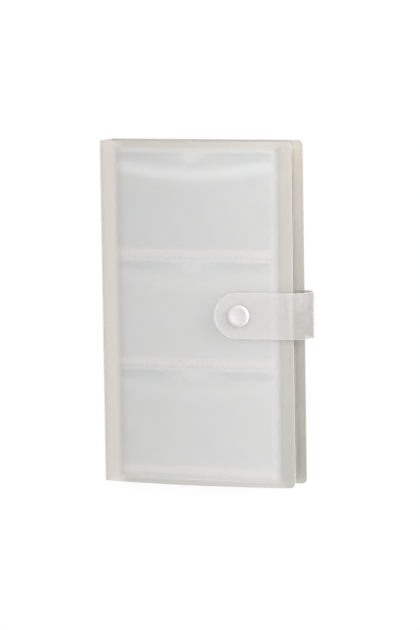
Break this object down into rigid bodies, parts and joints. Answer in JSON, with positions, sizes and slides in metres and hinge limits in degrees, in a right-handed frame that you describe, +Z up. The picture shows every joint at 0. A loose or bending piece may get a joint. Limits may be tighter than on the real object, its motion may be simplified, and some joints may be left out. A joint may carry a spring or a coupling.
{
  "type": "business card book",
  "caption": "Translucent business card book with a creased frosted cover, welded pocket leaves on an arched binding strip and a wrap-round strap that closes with a press stud.",
  "frame": {"origin": "middle of the back cover's outer face, on the surface that the closed book lies on", "axes": "+X from spine to fore edge, +Y from tail to head, +Z up through the closed book"},
  "size_m": [0.1253, 0.195, 0.0291],
  "materials": {
    "frosted_sheet": "frosted translucent sheet with a fine matt grain",
    "clear_sheet": "clear flexible sheet, smooth",
    "leaf_sheet": "thin clear sheet with a faint cool tint",
    "pocket_film": "thin clear film, lighter where it is heat sealed",
    "white_plastic": "moulded, smooth with a soft gloss"
  },
  "bodies": {
    "back_cover": {"back_cover": "frosted_sheet", "strap_root": "clear_sheet"},
    "spine": {"spine": "frosted_sheet", "binding_strip": "clear_sheet"},
    "front_cover": {"front_cover": "frosted_sheet", "snap_stud": "white_plastic", "snap_rivet": "white_plastic"},
    "leaf_01": {"leaf_01_sheet": "leaf_sheet", "leaf_01_pockets": "pocket_film", "leaf_01_welds": "pocket_film"},
    "leaf_02": {"leaf_02_sheet": "leaf_sheet", "leaf_02_pockets": "pocket_film", "leaf_02_welds": "pocket_film"},
    "leaf_03": {"leaf_03_sheet": "leaf_sheet", "leaf_03_pockets": "pocket_film", "leaf_03_welds": "pocket_film"},
    "leaf_04": {"leaf_04_sheet": "leaf_sheet", "leaf_04_pockets": "pocket_film", "leaf_04_welds": "pocket_film"},
    "leaf_05": {"leaf_05_sheet": "leaf_sheet", "leaf_05_pockets": "pocket_film", "leaf_05_welds": "pocket_film"},
    "leaf_06": {"leaf_06_sheet": "leaf_sheet", "leaf_06_pockets": "pocket_film", "leaf_06_welds": "pocket_film"},
    "leaf_07": {"leaf_07_sheet": "leaf_sheet", "leaf_07_pockets": "pocket_film", "leaf_07_welds": "pocket_film"},
    "leaf_08": {"leaf_08_sheet": "leaf_sheet", "leaf_08_pockets": "pocket_film", "leaf_08_welds": "pocket_film"},
    "leaf_09": {"leaf_09_sheet": "leaf_sheet", "leaf_09_pockets": "pocket_film", "leaf_09_welds": "pocket_film"},
    "leaf_10": {"leaf_10_sheet": "leaf_sheet", "leaf_10_pockets": "pocket_film", "leaf_10_welds": "pocket_film"},
    "strap_bend_1": {"strap_bend_1": "clear_sheet"},
    "strap_bend_2": {"strap_bend_2": "clear_sheet"},
    "strap_bend_3": {"strap_bend_3": "clear_sheet"},
    "strap_bend_4": {"strap_bend_4": "clear_sheet"},
    "strap_bend_5": {"strap_bend_5": "clear_sheet"},
    "strap_tongue": {"strap_tongue": "clear_sheet", "snap_cap": "white_plastic", "snap_socket": "white_plastic"}
  },
  "joints": [
    {"name": "rear_crease", "type": "hinge", "parent": "back_cover", "child": "spine", "pos_m": [-0.05758, 0, 0.0004], "axis": [0, -1, 0], "range_deg": [0, 87]},
    {"name": "front_crease", "type": "hinge", "parent": "spine", "child": "front_cover", "pos_m": [-0.05758, 0, 0.0189], "axis": [0, -1, 0], "range_deg": [0, 87]},
    {"name": "leaf_01_turn", "type": "hinge", "parent": "spine", "child": "leaf_01", "pos_m": [-0.05469, 0, 0.00199], "axis": [0, -1, 0], "range_deg": [-86.45, 0]},
    {"name": "leaf_02_turn", "type": "hinge", "parent": "spine", "child": "leaf_02", "pos_m": [-0.05267, 0, 0.00298], "axis": [0, -1, 0], "range_deg": [-85.85, 0]},
    {"name": "leaf_03_turn", "type": "hinge", "parent": "spine", "child": "leaf_03", "pos_m": [-0.05101, 0, 0.00448], "axis": [0, -1, 0], "range_deg": [-85.25, 0]},
    {"name": "leaf_04_turn", "type": "hinge", "parent": "spine", "child": "leaf_04", "pos_m": [-0.04982, 0, 0.00638], "axis": [0, -1, 0], "range_deg": [-84.65, 0]},
    {"name": "leaf_05_turn", "type": "hinge", "parent": "spine", "child": "leaf_05", "pos_m": [-0.0492, 0, 0.00853], "axis": [0, -1, 0], "range_deg": [-84.05, 0]},
    {"name": "leaf_06_turn", "type": "hinge", "parent": "spine", "child": "leaf_06", "pos_m": [-0.0492, 0, 0.01077], "axis": [0, -1, 0], "range_deg": [0, 84.05]},
    {"name": "leaf_07_turn", "type": "hinge", "parent": "spine", "child": "leaf_07", "pos_m": [-0.04982, 0, 0.01292], "axis": [0, -1, 0], "range_deg": [0, 84.65]},
    {"name": "leaf_08_turn", "type": "hinge", "parent": "spine", "child": "leaf_08", "pos_m": [-0.05101, 0, 0.01482], "axis": [0, -1, 0], "range_deg": [0, 85.25]},
    {"name": "leaf_09_turn", "type": "hinge", "parent": "spine", "child": "leaf_09", "pos_m": [-0.05267, 0, 0.01632], "axis": [0, -1, 0], "range_deg": [0, 85.85]},
    {"name": "leaf_10_turn", "type": "hinge", "parent": "spine", "child": "leaf_10", "pos_m": [-0.05469, 0, 0.01731], "axis": [0, -1, 0], "range_deg": [0, 86.45]},
    {"name": "strap_flex_1", "type": "hinge", "parent": "back_cover", "child": "strap_bend_1", "pos_m": [0.05824, 0, 0.0012], "axis": [0, 1, 0], "range_deg": [0, 29.21]},
    {"name": "strap_flex_2", "type": "hinge", "parent": "strap_bend_1", "child": "strap_bend_2", "pos_m": [0.06349, 0, 0.00414], "axis": [0, 1, 0], "range_deg": [0, 29.21]},
    {"name": "strap_flex_3", "type": "hinge", "parent": "strap_bend_2", "child": "strap_bend_3", "pos_m": [0.06664, 0, 0.00926], "axis": [0, 1, 0], "range_deg": [0, 29.21]},
    {"name": "strap_flex_4", "type": "hinge", "parent": "strap_bend_3", "child": "strap_bend_4", "pos_m": [0.06688, 0, 0.01527], "axis": [0, 1, 0], "range_deg": [0, 29.21]},
    {"name": "strap_flex_5", "type": "hinge", "parent": "strap_bend_4", "child": "strap_bend_5", "pos_m": [0.06417, 0, 0.02064], "axis": [0, 1, 0], "range_deg": [0, 29.21]},
    {"name": "strap_flex_6", "type": "hinge", "parent": "strap_bend_5", "child": "strap_tongue", "pos_m": [0.05917, 0, 0.024], "axis": [0, 1, 0], "range_deg": [0, 29.21]}
  ],
  "couplings": [
    {"joint": "front_crease", "follows": "rear_crease", "ratio": 1},
    {"joint": "leaf_01_turn", "follows": "rear_crease", "ratio": -0.9931},
    {"joint": "leaf_02_turn", "follows": "rear_crease", "ratio": -0.98621},
    {"joint": "leaf_03_turn", "follows": "rear_crease", "ratio": -0.97931},
    {"joint": "leaf_04_turn", "follows": "rear_crease", "ratio": -0.97241},
    {"joint": "leaf_05_turn", "follows": "rear_crease", "ratio": -0.96552},
    {"joint": "leaf_06_turn", "follows": "rear_crease", "ratio": 0.96552},
    {"joint": "leaf_07_turn", "follows": "rear_crease", "ratio": 0.97241},
    {"joint": "leaf_08_turn", "follows": "rear_crease", "ratio": 0.97931},
    {"joint": "leaf_09_turn", "follows": "rear_crease", "ratio": 0.98621},
    {"joint": "leaf_10_turn", "follows": "rear_crease", "ratio": 0.9931},
    {"joint": "strap_flex_2", "follows": "strap_flex_1", "ratio": 1},
    {"joint": "strap_flex_3", "follows": "strap_flex_1", "ratio": 1},
    {"joint": "strap_flex_4", "follows": "strap_flex_1", "ratio": 1},
    {"joint": "strap_flex_5", "follows": "strap_flex_1", "ratio": 1},
    {"joint": "strap_flex_6", "follows": "strap_flex_1", "ratio": 1}
  ]
}
